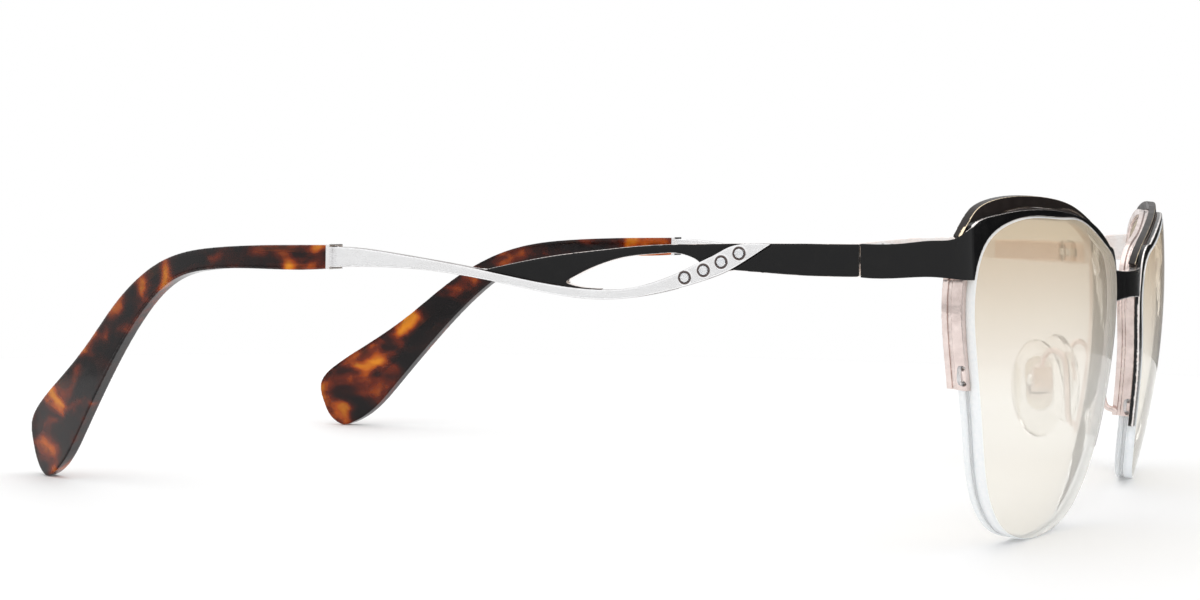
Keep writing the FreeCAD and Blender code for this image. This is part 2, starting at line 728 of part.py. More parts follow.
def make_housing():
    """The spring hinge's case on the inside of the temple."""
    front = hinge_setback + butt_gap + housing_front_gap
    inside = -hinge_radius * housing_inner_share
    case = block_at(inside, hinge_inner_face - fixed_clearance, front, front + housing_length,
                    -hinge_half_height, hinge_half_height)
    rear = hinge_axis + V(inside, front + housing_length, 0)
    rear_edges = [edge for edge in case.Edges if (edge.CenterOfMass - rear).Length < fixed_clearance]
    case = case.makeFillet(housing_fillet, rear_edges)
    clear = tongue_clearance
    slot = block_at(-tongue_half_width - clear, tongue_half_width + clear, front - overshoot,
                    hinge_setback + tongue_length + clear, -slot_half, slot_half)
    root = hinge_axis + V(0, hinge_setback + tongue_length, 0)
    neck = Part.makeCylinder(plunger_radius + running_clearance, 2 * housing_wall, root, V(0, 1, 0))
    room = Part.makeCylinder(plunger_collar_radius + running_clearance,
                             plunger_length + plunger_collar_length + spring_room_margin - housing_wall,
                             root + V(0, housing_wall, 0), V(0, 1, 0))
    return case.cut(slot).cut(neck).cut(room)


def make_spring():
    """The coils around the plunger, between the case's shoulder and the plunger's collar."""
    coils = []
    length = plunger_length - housing_wall
    pitch = length / coil_count
    middle_radius = plunger_radius + running_clearance / 2.0 + spring_wire_radius
    for number in range(coil_count):
        centre = hinge_axis + V(0, hinge_setback + tongue_length + housing_wall + (number + 0.5) * pitch, 0)
        coils.append(Part.makeTorus(middle_radius, spring_wire_radius, centre, V(0, 1, 0)))
    return Part.makeCompound(coils)


# ---- nose pads ----
arm_foot, _ = edge_at(pad_arm_foot_v, False, rim_outer)
arm_start = front_point(arm_foot.x, arm_foot.z, rim_front_setback + rim_depth - pad_arm_radius)
arm_start = arm_start - V(pad_arm_radius * pad_arm_bite, 0, 0)
pad_turn = FreeCAD.Rotation(V(0, 0, 1), -pad_splay).multiply(FreeCAD.Rotation(V(0, 1, 0), -pad_tilt))
box_centre = arm_start + V(*pad_arm_bends[-1]) + pad_turn.multVec(V(0, 0, -pad_box[2] / 2.0))


def to_pad(shape):
    """Places a shape made around the pad's screw, with the nose towards -X."""
    placed = shape.copy()
    placed.Placement = FreeCAD.Placement(box_centre, pad_turn).multiply(placed.Placement)
    return placed


def make_pad_arm():
    points = [arm_start + V(*bend) for bend in pad_arm_bends]
    arm = Part.makeSphere(pad_arm_radius, points[0])
    for a, b in zip(points, points[1:]):
        arm = arm.fuse(Part.makeCylinder(pad_arm_radius, (b - a).Length, a, b - a))
        arm = arm.fuse(Part.makeSphere(pad_arm_radius, b))
    seat = between(prism([lens_outline(rim_outer)]), 0.0, rim_front_setback + rim_depth)
    box = to_pad(Part.makeBox(*pad_box, V(-pad_box[0] / 2.0, -pad_box[1] / 2.0, -pad_box[2] / 2.0)))
    return arm.cut(to_front(seat)).cut(box).removeSplitter()


def make_pad_box():
    """The open box on the arm that the pad's stud hangs in, with its screw hole."""
    wide, deep, high = pad_box
    box = Part.makeBox(wide, deep, high, V(-wide / 2.0, -deep / 2.0, -high / 2.0))
    room = Part.makeBox(wide, deep - 2 * pad_box_wall, high - 2 * pad_box_wall,
                        V(-wide / 2.0 - pad_box_wall, -deep / 2.0 + pad_box_wall, -high / 2.0 + pad_box_wall))
    hole = Part.makeCylinder(pad_screw_radius + fixed_clearance, 2 * deep, V(0, -deep, 0), V(0, 1, 0))
    return to_pad(box.cut(room).cut(hole))


def make_pad_screw():
    deep = pad_box[1]
    shank = Part.makeCylinder(pad_screw_radius, deep, V(0, -deep / 2.0, 0), V(0, 1, 0))
    head = Part.makeCylinder(pad_screw_head_radius, pad_screw_head_length, V(0, deep / 2.0, 0), V(0, 1, 0))
    slot = Part.makeBox(pad_screw_slot, pad_screw_slot, 2 * deep,
                        V(-pad_screw_slot / 2.0, deep / 2.0 + pad_screw_head_length - pad_screw_slot, -deep))
    return to_pad(head.fuse(shank).cut(slot))


pad_plate_x = -pad_box[0] / 2.0 - pad_rock_gap - pad_core_thickness


def long_disc(clearance):
    """The flat plate with round ends that the pad is moulded around, grown by a clearance."""
    radius = pad_core_width / 2.0 + clearance
    thickness = pad_core_thickness + 2 * clearance
    half = (pad_core_height - pad_core_width) / 2.0
    back = pad_plate_x - clearance
    plate = Part.makeBox(thickness, 2 * radius, 2 * half, V(back, -radius, -half))
    for side in (-1, 1):
        plate = plate.fuse(Part.makeCylinder(radius, thickness, V(back, 0, side * half), V(1, 0, 0)))
    return plate


def make_pad_core():
    """The metal core of the pad: a plate in the pad and a stud with an eye on the pad's screw."""
    half = pad_box[1] / 2.0 - pad_box_wall - tongue_clearance
    eye_radius = pad_box[0] / 2.0 - pad_box_wall - pad_eye_gap
    stud = Part.makeBox(-pad_plate_x, 2 * half, 2 * eye_radius, V(pad_plate_x, -half, -eye_radius))
    eye = Part.makeCylinder(eye_radius, 2 * half, V(0, -half, 0), V(0, 1, 0))
    body = long_disc(0.0).fuse(stud).fuse(eye)
    bore = Part.makeCylinder(pad_screw_radius + running_clearance, 4 * half, V(0, -2 * half, 0), V(0, 1, 0))
    return to_pad(body.cut(bore).removeSplitter())


def dome_radius(span, rise):
    """The radius of an arc of a given span and rise."""
    return (span ** 2 / 4.0 + rise ** 2) / (2.0 * rise)


def pad_body(thickness, width, height):
    """An oval cushion, domed towards the nose and flat behind."""
    oval = Part.Edge(Part.Ellipse(V(0, 0, height / 2.0), V(0, width / 2.0, 0), V(0, 0, 0)))
    body = Part.Face(Part.Wire([oval])).extrude(V(-thickness, 0, 0))
    long_radius = dome_radius(height, pad_dome)
    short_radius = dome_radius(width, pad_dome)
    ball = Part.makeSphere(long_radius, V(long_radius - thickness, 0, 0))
    roll = Part.makeCylinder(short_radius, 2 * height, V(short_radius - thickness, 0, -height))
    return body.common(ball).common(roll)


def make_pad():
    cushion = pad_body(pad_thickness, pad_width, pad_height)
    cushion.translate(V(pad_plate_x + pad_core_thickness, 0, -pad_drop))
    return to_pad(cushion.cut(long_disc(running_clearance)))


def mirrored(shape):
    return shape.mirror(V(0, 0, 0), V(1, 0, 0))


makers = {
    "lens": make_lens,
    "rim": make_rim,
    "rim_liner": make_liner,
    "nylon_cord": make_cord,
    "front_plate": make_plate,
    "brow_wing": make_wing,
    "hinge_base": make_hinge_base,
    "hinge_screw": make_hinge_screw,
    "spring_carriage": make_carriage,
    "spring_housing": make_housing,
    "hinge_spring": make_spring,
    "temple_bar": make_bar,
    "temple_swoosh": make_swoosh,
    "temple_crystals": make_crystals,
    "temple_core": make_core,
    "temple_tip": make_tip,
    "tip_collar": make_collar,
    "pad_arm": make_pad_arm,
    "pad_box": make_pad_box,
    "pad_screw": make_pad_screw,
    "pad_core": make_pad_core,
    "nose_pad": make_pad,
}


def build():
    shapes = {"bridge": make_bridge()}
    for name, make in makers.items():
        left = make()
        shapes[name + "_left"] = left
        shapes[name + "_right"] = mirrored(left)
    low_y = min(shape.optimalBoundingBox().YMin for shape in shapes.values())
    high_y = max(shape.optimalBoundingBox().YMax for shape in shapes.values())
    low_z = min(shape.optimalBoundingBox().ZMin for shape in shapes.values())
    origin = V(0, (low_y + high_y) / 2.0, low_z)
    os.makedirs("parts", exist_ok=True)
    for name, shape in shapes.items():
        placed = shape.copy()
        placed.translate(-origin)
        placed.exportStep(os.path.join("parts", name + ".step"))
        print(name, len(placed.Solids), "solids, valid", placed.isValid(), "volume", round(placed.Volume, 2))
    print("origin", tuple(round(value, 4) for value in origin))
    print("hinge axis", tuple(round(value, 4) for value in hinge_axis - origin))
    print("pad screw", tuple(round(value, 4) for value in box_centre - origin),
          "axis", tuple(round(value, 5) for value in pad_turn.multVec(V(0, 1, 0))))


build()
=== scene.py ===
import json
import math

import bmesh
import bpy
import numpy as np
from mathutils import Matrix, Vector
from mathutils.bvhtree import BVHTree


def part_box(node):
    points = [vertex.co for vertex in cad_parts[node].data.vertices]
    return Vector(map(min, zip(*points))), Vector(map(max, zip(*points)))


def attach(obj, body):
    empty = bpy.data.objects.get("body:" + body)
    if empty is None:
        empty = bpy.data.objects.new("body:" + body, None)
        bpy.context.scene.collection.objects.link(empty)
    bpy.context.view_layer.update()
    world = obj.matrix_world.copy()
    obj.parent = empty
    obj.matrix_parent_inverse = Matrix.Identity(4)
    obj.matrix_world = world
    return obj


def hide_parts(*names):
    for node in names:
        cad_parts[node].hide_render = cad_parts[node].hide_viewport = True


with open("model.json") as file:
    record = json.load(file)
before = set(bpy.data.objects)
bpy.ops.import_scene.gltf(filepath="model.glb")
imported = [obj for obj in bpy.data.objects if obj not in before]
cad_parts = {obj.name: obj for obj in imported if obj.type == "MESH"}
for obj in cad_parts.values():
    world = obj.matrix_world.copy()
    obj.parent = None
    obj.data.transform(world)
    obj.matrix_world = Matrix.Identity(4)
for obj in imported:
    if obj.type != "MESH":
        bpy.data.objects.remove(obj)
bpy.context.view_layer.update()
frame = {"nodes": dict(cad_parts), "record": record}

# Half rim eyeglasses, in metres, in the frame of the CAD model. +X is the wearer's left, the front
# faces -Y and +Z is up. The left side's pieces are made first and the right side's are their mirror
# images, so each maker works on the left side.

MM = 0.001
SIDES = {"left": 1, "right": -1}

# ---- lens sizes, as in the CAD model ----
HINGE_TO_LENS = -17.6 * MM
LENS_MIDDLE = (37.0 * MM, 20.232 * MM)
WRAP = math.radians(8.4)
TILT = math.radians(4.9)
FRONT_RADIUS = 116.0 * MM
BACK_RADIUS = 85.0 * MM
CENTRE_THICKNESS = 1.8 * MM
EDGE_BEVEL = 0.14 * MM
GROOVE_FRONT = 1.3 * MM
GROOVE_WIDTH = 0.6 * MM
GROOVE_DEPTH = 0.5 * MM
GROOVE_LIP = 0.04 * MM
LENS_SAMPLES = 240
DEPTH_STEP = 0.2 * MM

# ---- nylon cord ----
CORD_RADIUS = 0.24 * MM
RIM_OUTSIDE = 1.12 * MM
LEG_ENDS = (-0.4 * MM, -9.2 * MM)
HOLES_ABOVE_END = (1.1 * MM, 2.7 * MM)

# ---- camera ----
CAMERA_PLACE = (-0.32419, -0.12953, 0.0414)
CAMERA_YAW = math.radians(22.41)
CAMERA_PITCH = math.radians(-2.41)
CAMERA_ROLL = math.radians(0.94)
CAMERA_LENS = 68.23
FLOOR_RADIUS = 0.27
DARK_SIDE = (0.87, -0.49, 0.0)


# =====================================================================================
# Mesh helpers
# =====================================================================================

def body_of(node):
    """The CAD body a node belongs to."""
    for body, nodes in frame["record"]["behaviour"]["bodies"].items():
        if node in nodes:
            return body


def joint_place(name):
    """The record's place of a joint."""
    for joint in frame["record"]["behaviour"]["joints"]:
        if joint["name"] == name:
            return Vector(joint["pos_m"])


def piece(name, mesh, nodes, materials):
    """A visible piece that stands for CAD nodes, rides on their body and has these materials."""
    obj = bpy.data.objects.new(name, mesh)
    bpy.context.scene.collection.objects.link(obj)
    for material in materials:
        mesh.materials.append(material)
    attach(obj, body_of(nodes[0]))
    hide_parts(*nodes)
    return obj


def mirrored_mesh(mesh, name):
    """A mesh's mirror image about the YZ plane."""
    copy = mesh.copy()
    copy.name = name
    copy.transform(Matrix.Diagonal((-1.0, 1.0, 1.0, 1.0)))
    copy.flip_normals()
    return copy


def applied(mesh, modifiers):
    """The mesh that a stack of modifiers makes: a list of (kind, settings)."""
    obj = bpy.data.objects.new("work", mesh)
    bpy.context.scene.collection.objects.link(obj)
    for kind, settings in modifiers:
        modifier = obj.modifiers.new(kind, kind)
        for key, value in settings.items():
            setattr(modifier, key, value)
    depsgraph = bpy.context.evaluated_depsgraph_get()
    made = bpy.data.meshes.new_from_object(obj.evaluated_get(depsgraph))
    bpy.data.objects.remove(obj)
    made.materials.clear()
    return made


def smooth(mesh):
    mesh.polygons.foreach_set("use_smooth", [True] * len(mesh.polygons))
    mesh.update()
    return mesh


def softened(node, voxel, passes, share):
    """A CAD node's shape with its edges rounded as polishing leaves them."""
    stack = [
        ("WELD", {"merge_threshold": 1e-6}),
        ("REMESH", {"mode": "VOXEL", "voxel_size": voxel * MM, "adaptivity": 0.0}),
        ("SMOOTH", {"factor": 0.5, "iterations": passes}),
        ("DECIMATE", {"decimate_type": "COLLAPSE", "ratio": share}),
    ]
    return smooth(applied(frame["nodes"][node].data.copy(), stack))


def set_attribute(mesh, name, values):
    attribute = mesh.attributes.new(name, "FLOAT", "POINT")
    attribute.data.foreach_set("value", np.asarray(values, np.float32))


def places_and_normals(mesh):
    count = len(mesh.vertices)
    places, normals = np.zeros(count * 3), np.zeros(count * 3)
    mesh.vertices.foreach_get("co", places)
    mesh.vertices.foreach_get("normal", normals)
    return places.reshape(-1, 3), normals.reshape(-1, 3)


def step(values, low, high):
    """A smooth step from 0 at low to 1 at high."""
    share = np.clip((values - low) / (high - low), 0.0, 1.0)
    return share * share * (3.0 - 2.0 * share)


def tube(points, radius, sides):
    """A round tube along a list of points, with rounded ends."""
    mesh = bpy.data.meshes.new("tube")
    build = bmesh.new()
    points = [Vector(p) for p in points]
    count = len(points)
    up = Vector((0.0, 0.0, 1.0))
    rings = []
    previous = None
    for index, point in enumerate(points):
        before = points[index - 1] if index else point
        after = points[index + 1] if index + 1 < count else point
        along = (after - before).normalized()
        side = previous - along * previous.dot(along) if previous else along.orthogonal()
        side.normalize()
        previous = side
        other = along.cross(side)
        rings.append([build.verts.new(point + (side * math.cos(a) + other * math.sin(a)) * radius)
                      for a in (2 * math.pi * k / sides for k in range(sides))])
    for first, second in zip(rings, rings[1:]):
        for k in range(sides):
            build.faces.new((first[k], first[(k + 1) % sides], second[(k + 1) % sides], second[k]))
    for ring, end, inner, flip in ((rings[0], points[0], points[1], True),
                                   (rings[-1], points[-1], points[-2], False)):
        out = (end - inner).normalized()
        last = ring
        for level in (0.4, 0.75, 0.95):
            shrink = math.sqrt(1 - level * level)
            new = [build.verts.new(end + out * radius * level + (vert.co - end) * shrink) for vert in ring]
            for k in range(sides):
                quad = (last[k], last[(k + 1) % sides], new[(k + 1) % sides], new[k])
                build.faces.new(tuple(reversed(quad)) if flip else quad)
            last = new
        build.faces.new(list(reversed(last)) if not flip else last)
    bmesh.ops.recalc_face_normals(build, faces=build.faces)
    build.to_mesh(mesh)
    build.free()
    return smooth(mesh)


def curved(points, samples):
    """Points along a smooth line through the given ones."""
    points = [Vector(p) for p in points]
    count = len(points)
    out = []
    for i in range(count - 1):
        a = points[i - 1] if i else points[0] * 2 - points[1]
        b, c = points[i], points[i + 1]
        d = points[i + 2] if i + 2 < count else c * 2 - b
        for k in range(samples):
            t = k / samples
            out.append(0.5 * ((2 * b) + (c - a) * t + (2 * a - 5 * b + 4 * c - d) * t ** 2
                              + (3 * b - a - 3 * c + d) * t ** 3))
    out.append(points[-1])
    return out


# =====================================================================================
# Materials
# =====================================================================================

class Look:
    """A material being built: nodes are added by kind and joined by name."""

    def __init__(self, name):
        self.material = bpy.data.materials.new(name)
        self.material.use_nodes = True
        self.tree = self.material.node_tree
        self.tree.nodes.clear()
        self.shader = self.add("ShaderNodeBsdfPrincipled")
        out = self.add("ShaderNodeOutputMaterial")
        self.join(self.shader.outputs["BSDF"], out.inputs["Surface"])
        self.places = self.add("ShaderNodeTexCoord").outputs["Object"]

    def add(self, kind, **settings):
        node = self.tree.nodes.new(kind)
        for key, value in settings.items():
            setattr(node, key, value)
        return node

    def join(self, start, end):
        self.tree.links.new(start, end)

    def set(self, **values):
        """Sets the shader's own sockets; underscores stand for spaces."""
        for key, value in values.items():
            self.shader.inputs[key.replace("_", " ")].default_value = value
        return self

    def noise(self, size, detail=3.0, rough=0.5, stretch=(1.0, 1.0, 1.0), distort=0.0):
        """Noise with features of about a size in millimetres."""
        mapping = self.add("ShaderNodeMapping")
        mapping.inputs["Scale"].default_value = stretch
        self.join(self.places, mapping.inputs["Vector"])
        node = self.add("ShaderNodeTexNoise")
        node.inputs["Scale"].default_value = 1.0 / (size * MM)
        node.inputs["Detail"].default_value = detail
        node.inputs["Roughness"].default_value = rough
        node.inputs["Distortion"].default_value = distort
        self.join(mapping.outputs["Vector"], node.inputs["Vector"])
        return node.outputs["Fac"]

    def ramp(self, source, stops, blend="LINEAR"):
        """A colour ramp: stops are (place, colour)."""
        node = self.add("ShaderNodeValToRGB")
        node.color_ramp.interpolation = blend
        elements = node.color_ramp.elements
        while len(elements) > 1:
            elements.remove(elements[-1])
        for index, (place, colour) in enumerate(stops):
            element = elements[0] if index == 0 else elements.new(place)
            element.position = place
            element.color = (*colour, 1.0)
        self.join(source, node.inputs["Fac"])
        return node.outputs["Color"]

    def level(self, source, low, high, source_low=0.0, source_high=1.0):
        """Maps a value from one range to another, clamped."""
        node = self.add("ShaderNodeMapRange")
        node.inputs["From Min"].default_value = source_low
        node.inputs["From Max"].default_value = source_high
        node.inputs["To Min"].default_value = low
        node.inputs["To Max"].default_value = high
        self.join(source, node.inputs["Value"])
        return node.outputs["Result"]

    def maths(self, operation, a, b):
        node = self.add("ShaderNodeMath", operation=operation)
        for index, value in enumerate((a, b)):
            if isinstance(value, (int, float)):
                node.inputs[index].default_value = value
            else:
                self.join(value, node.inputs[index])
        return node.outputs[0]

    def mix(self, share, a, b):
        """Mixes two colours or sockets."""
        node = self.add("ShaderNodeMix", data_type="RGBA")
        for socket, value in ((node.inputs["Factor"], share), (node.inputs[6], a), (node.inputs[7], b)):
            if isinstance(value, (int, float)):
                socket.default_value = value
            elif isinstance(value, tuple):
                socket.default_value = (*value, 1.0)
            else:
                self.join(value, socket)
        return node.outputs[2]

    def attribute(self, name):
        return self.add("ShaderNodeAttribute", attribute_name=name).outputs["Fac"]

    def place(self, axis):
        split = self.add("ShaderNodeSeparateXYZ")
        self.join(self.places, split.inputs["Vector"])
        return split.outputs[axis]

    def edge_pointiness(self):
        """How pointed a spot is: high along edges and corners, low in hollows, which metal() darkens as
        painted shade.
        """
        return self.add("ShaderNodeNewGeometry").outputs["Pointiness"]

    def colour(self, source):
        self.join(source, self.shader.inputs["Base Color"])
        return self

    def rough(self, source, low, high, source_low=0.3, source_high=0.7):
        self.join(self.level(source, low, high, source_low, source_high), self.shader.inputs["Roughness"])
        return self

    def bump(self, source, depth, strength=0.3):
        """A bump with a depth in millimetres."""
        node = self.add("ShaderNodeBump")
        node.inputs["Strength"].default_value = strength
        node.inputs["Distance"].default_value = depth * MM
        self.join(source, node.inputs["Height"])
        self.join(node.outputs["Normal"], self.shader.inputs["Normal"])
        return self


BLACK = (0.0028, 0.0028, 0.0032)
BLACK_WORN = (0.0055, 0.0052, 0.0052)
BROWN_BLACK = (0.012, 0.0075, 0.0062)
BRIGHT = (0.93, 0.90, 0.885)
ROSE = (0.87, 0.70, 0.62)
ROSE_DEEP = (0.70, 0.50, 0.42)
SILVER = (0.95, 0.95, 0.955)
SILVER_DULL = (0.82, 0.80, 0.795)
STEEL = (0.80, 0.79, 0.78)


def metal(name, bright, dull, rough_low=0.12, rough_high=0.28, grain=(1.0, 0.12, 1.0)):
    look = Look(name)
    cloud = look.noise(2.6, 4.0, 0.6)
    lines = look.noise(0.16, 2.0, 0.6, grain)
    plating = look.mix(look.level(cloud, 0.0, 0.6, 0.35, 0.75), bright, dull)
    # Painted shade: hollows, where pointiness is low, are darkened towards a quarter of the dull colour.
    cavity_shade = look.level(look.edge_pointiness(), 0.8, 0.0, 0.42, 0.495)
    look.colour(look.mix(cavity_shade, plating, tuple(0.25 * channel for channel in dull)))
    look.rough(look.maths("ADD", look.maths("MULTIPLY", cloud, 0.5), look.maths("MULTIPLY", lines, 0.5)),
               rough_low, rough_high)
    look.bump(lines, 0.004, 0.25)
    return look.set(Metallic=1.0).material


def two_tone(name, paint, paint_worn, bright, dull, paint_rough=(0.16, 0.26)):
    """Lacquer on the outer faces and bare polished metal where the attribute "bare" is 1."""
    look = Look(name)
    bare = look.attribute("bare")
    cloud = look.noise(1.8, 4.0, 0.6)
    peel = look.noise(0.22, 2.0, 0.5)
    lines = look.noise(0.16, 2.0, 0.6, (1.0, 0.12, 1.0))
    ragged = look.maths("ADD", bare, look.maths("MULTIPLY", look.maths("SUBTRACT", peel, 0.5), 0.2))
    share = look.level(ragged, 0.0, 1.0, 0.3, 0.7)
    lacquer = look.mix(look.level(cloud, 0.0, 1.0, 0.45, 0.8), paint, paint_worn)
    plating = look.mix(look.level(cloud, 0.0, 0.6, 0.35, 0.75), bright, dull)
    look.colour(look.mix(share, lacquer, plating))
    look.join(share, look.shader.inputs["Metallic"])
    paint_gloss = look.level(cloud, paint_rough[0], paint_rough[1], 0.3, 0.7)
    metal_gloss = look.level(lines, 0.12, 0.28, 0.3, 0.7)
    blend = look.add("ShaderNodeMix", data_type="FLOAT")
    look.join(share, blend.inputs["Factor"])
    look.join(paint_gloss, blend.inputs[2])
    look.join(metal_gloss, blend.inputs[3])
    look.join(blend.outputs[0], look.shader.inputs["Roughness"])
    look.bump(peel, 0.004, 0.12)
    return look.set(Specular_IOR_Level=0.3).material


def silver_with_painted_shade():
    """Bright silver plating with painted shade: darker and pinker where the attribute "shade" is 1."""
    look = Look("silver_with_painted_shade")
    cloud = look.noise(3.2, 4.0, 0.6)
    lines = look.noise(0.2, 2.0, 0.6, (1.0, 0.06, 1.0))
    plating = look.mix(look.level(cloud, 0.0, 0.5, 0.45, 0.8), SILVER, SILVER_DULL)
    uneven = look.maths("MULTIPLY", look.maths("SUBTRACT", cloud, 0.5), 0.25)
    shade = look.maths("ADD", look.attribute("shade"), uneven)
    # Painted shade: the colour goes to a dark pinkish grey where the shade attribute is high.
    look.colour(look.mix(look.level(shade, 0.0, 1.0, 0.2, 0.8), plating, (0.12, 0.095, 0.09)))
    look.rough(look.maths("ADD", look.maths("MULTIPLY", cloud, 0.5), look.maths("MULTIPLY", lines, 0.5)),
               0.16, 0.34)
    look.bump(lines, 0.004, 0.2)
    return look.set(Metallic=1.0).material


def lens_glass():
    """Clear plastic with an anti-reflective coating, tan at the top and fading to ivory."""
    look = Look("gradient_lens")
    height = look.place("Z")
    haze = look.noise(9.0, 2.0, 0.5)
    shifted = look.maths("ADD", height, look.maths("MULTIPLY", look.maths("SUBTRACT", haze, 0.5), 0.001))
    share = look.level(shifted, 0.0, 1.0, 0.016, 0.042)
    look.colour(look.ramp(share, [(0.10, (0.965, 0.94, 0.885)), (0.30, (0.93, 0.88, 0.805)),
                                  (0.49, (0.87, 0.805, 0.705)), (0.68, (0.79, 0.70, 0.58)),
                                  (0.875, (0.73, 0.62, 0.465))]))
    look.rough(haze, 0.0, 0.006)
    return look.set(Transmission_Weight=0.68, IOR=1.04, Coat_Weight=0.1, Coat_Roughness=0.01).material


def lens_edge():
    """The lens's ground and polished edge: clear and faintly blue."""
    look = Look("lens_edge")
    grind = look.noise(0.5, 2.0, 0.5)
    look.colour(look.mix(look.level(grind, 0.0, 1.0, 0.3, 0.7), (0.95, 0.975, 1.0), (0.88, 0.925, 0.965)))
    look.rough(grind, 0.12, 0.22)
    look.bump(grind, 0.003, 0.1)
    return look.set(Transmission_Weight=0.35, IOR=1.04, Specular_IOR_Level=0.35).material


def clear_nylon():
    """Clear monofilament, also used for the liner between the rim and the lens."""
    look = Look("clear_nylon")
    streak = look.noise(0.4, 2.0, 0.5)
    look.colour(look.mix(look.level(streak, 0.0, 1.0, 0.3, 0.7), (0.96, 0.975, 0.985), (0.90, 0.92, 0.94)))
    look.rough(streak, 0.08, 0.2)
    return look.set(Transmission_Weight=0.6, IOR=1.53).material


TIP_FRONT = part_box("temple_tip_left")[0].y
TIP_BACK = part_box("temple_tip_left")[1].y


def tortoise():
    """Mottled acetate: dark brown, red-brown and amber patches that let light through."""
    look = Look("tortoise_acetate")
    along = look.level(look.place("Y"), 0.0, 1.0, TIP_FRONT, TIP_BACK)
    patches = look.noise(6.5, 1.5, 0.4, (1.0, 0.8, 1.25), 0.8)
    flecks = look.noise(2.6, 2.0, 0.5, (1.0, 0.9, 1.2), 0.4)
    clouds = look.maths("ADD", look.maths("MULTIPLY", patches, 0.82), look.maths("MULTIPLY", flecks, 0.18))
    lightness = [(0.0, 0.57), (0.12, 0.55), (0.22, 0.43), (0.36, 0.42), (0.48, 0.54),
                 (0.56, 0.44), (0.78, 0.44), (0.88, 0.55), (1.0, 0.50)]
    bias = look.ramp(along, [(place, (grey,) * 3) for place, grey in lightness], "EASE")
    amount = look.maths("ADD", clouds, look.maths("SUBTRACT", bias, 0.5))
    look.colour(look.ramp(amount, [(0.40, (0.005, 0.0025, 0.003)), (0.48, (0.030, 0.005, 0.003)),
                                   (0.54, (0.16, 0.018, 0.004)), (0.59, (0.52, 0.095, 0.006)),
                                   (0.66, (0.92, 0.33, 0.014))]))
    look.rough(flecks, 0.05, 0.12)
    look.bump(look.noise(0.6, 2.0, 0.5), 0.003, 0.1)
    return look.set(Transmission_Weight=0.5, IOR=1.4, Specular_IOR_Level=0.25).material


def soft_silicone():
    """Clear, slightly cloudy silicone."""
    look = Look("soft_silicone")
    haze = look.noise(1.6, 3.0, 0.5)
    look.colour(look.mix(look.level(haze, 0.0, 1.0, 0.3, 0.7), (0.99, 0.985, 0.97), (0.96, 0.95, 0.93)))
    look.rough(haze, 0.05, 0.12)
    look.bump(look.noise(0.5, 2.0, 0.5), 0.003, 0.08)
    return look.set(Transmission_Weight=0.93, IOR=1.36, Specular_IOR_Level=0.35).material


def cut_crystal():
    """Bright cut glass."""
    look = Look("cut_crystal")
    spark = look.noise(0.7, 1.0, 0.5)
    look.colour(look.mix(look.level(spark, 0.0, 1.0, 0.35, 0.65), (0.99, 0.995, 1.0), (0.92, 0.95, 0.99)))
    look.rough(spark, 0.01, 0.04)
    return look.set(Transmission_Weight=0.35, IOR=1.9, Coat_Weight=1.0, Coat_Roughness=0.02).material


black_plate = two_tone("black_plate", BLACK, BLACK_WORN, BRIGHT, ROSE)
brown_wing = two_tone("brown_wing", BROWN_BLACK, (0.02, 0.013, 0.010), (0.93, 0.78, 0.56), (0.78, 0.60, 0.42),
                      (0.3, 0.45))
rose_gold = metal("rose_gold", ROSE, ROSE_DEEP)
pale_rose = metal("pale_rose", (0.86, 0.74, 0.70), (0.42, 0.32, 0.29))
silver = metal("silver", SILVER, SILVER_DULL, 0.14, 0.3, (1.0, 0.06, 1.0))
swoosh_silver = silver_with_painted_shade()
steel = metal("steel", STEEL, (0.58, 0.57, 0.56), 0.16, 0.34)
bright_steel = metal("bright_steel", (0.955, 0.955, 0.95), (0.90, 0.895, 0.885), 0.2, 0.4)
optic = lens_glass()
ground = lens_edge()
nylon = clear_nylon()
acetate = tortoise()
silicone = soft_silicone()
crystal = cut_crystal()


# =====================================================================================
# Lenses and the nylon cord
# =====================================================================================

HINGE = joint_place("left_temple_fold")
LENS_CENTRE = Vector((LENS_MIDDLE[0], HINGE.y + HINGE_TO_LENS, LENS_MIDDLE[1]))
LENS_PLACE = Matrix.Translation(LENS_CENTRE) @ Matrix.Rotation(WRAP, 4, "Z") @ Matrix.Rotation(TILT, 4, "X")


def front_depth(h, v):
    """How far the front face lies behind its middle, at a place across and up the lens."""
    return FRONT_RADIUS - math.sqrt(FRONT_RADIUS ** 2 - h * h - v * v)


def back_depth(h, v):
    """How far the back face lies behind the middle of the front face."""
    return CENTRE_THICKNESS + BACK_RADIUS - math.sqrt(BACK_RADIUS ** 2 - h * h - v * v)


def lens_outline(samples):
    """The CAD lens's outline in its own frame: its edge stands square behind the front face."""
    lens = frame["nodes"]["lens_left"].data.copy()
    lens.transform(LENS_PLACE.inverted())
    build = bmesh.new()
    build.from_mesh(lens)
    tree = BVHTree.FromBMesh(build)
    build.free()
    outline = []
    for index in range(samples):
        angle = 2 * math.pi * index / samples
        out = Vector((math.cos(angle), 0.0, math.sin(angle)))
        widest = 0.0
        for depth in range(2, 36):
            hit = tree.ray_cast(out * 40.0 * MM + Vector((0.0, depth * DEPTH_STEP, 0.0)), -out)[0]
            if hit is not None:
                widest = max(widest, hit.dot(out))
        outline.append(out * widest)
    bpy.data.meshes.remove(lens)
    return outline


OUTLINE = lens_outline(LENS_SAMPLES)


def outline_normals(outline):
    """Which way the lens's edge looks at each sample."""
    count = len(outline)
    normals = []
    for index in range(count):
        along = outline[(index + 1) % count] - outline[index - 1]
        normals.append(Vector((along.z, 0.0, -along.x)).normalized())
    return normals


OUTWARD = outline_normals(OUTLINE)


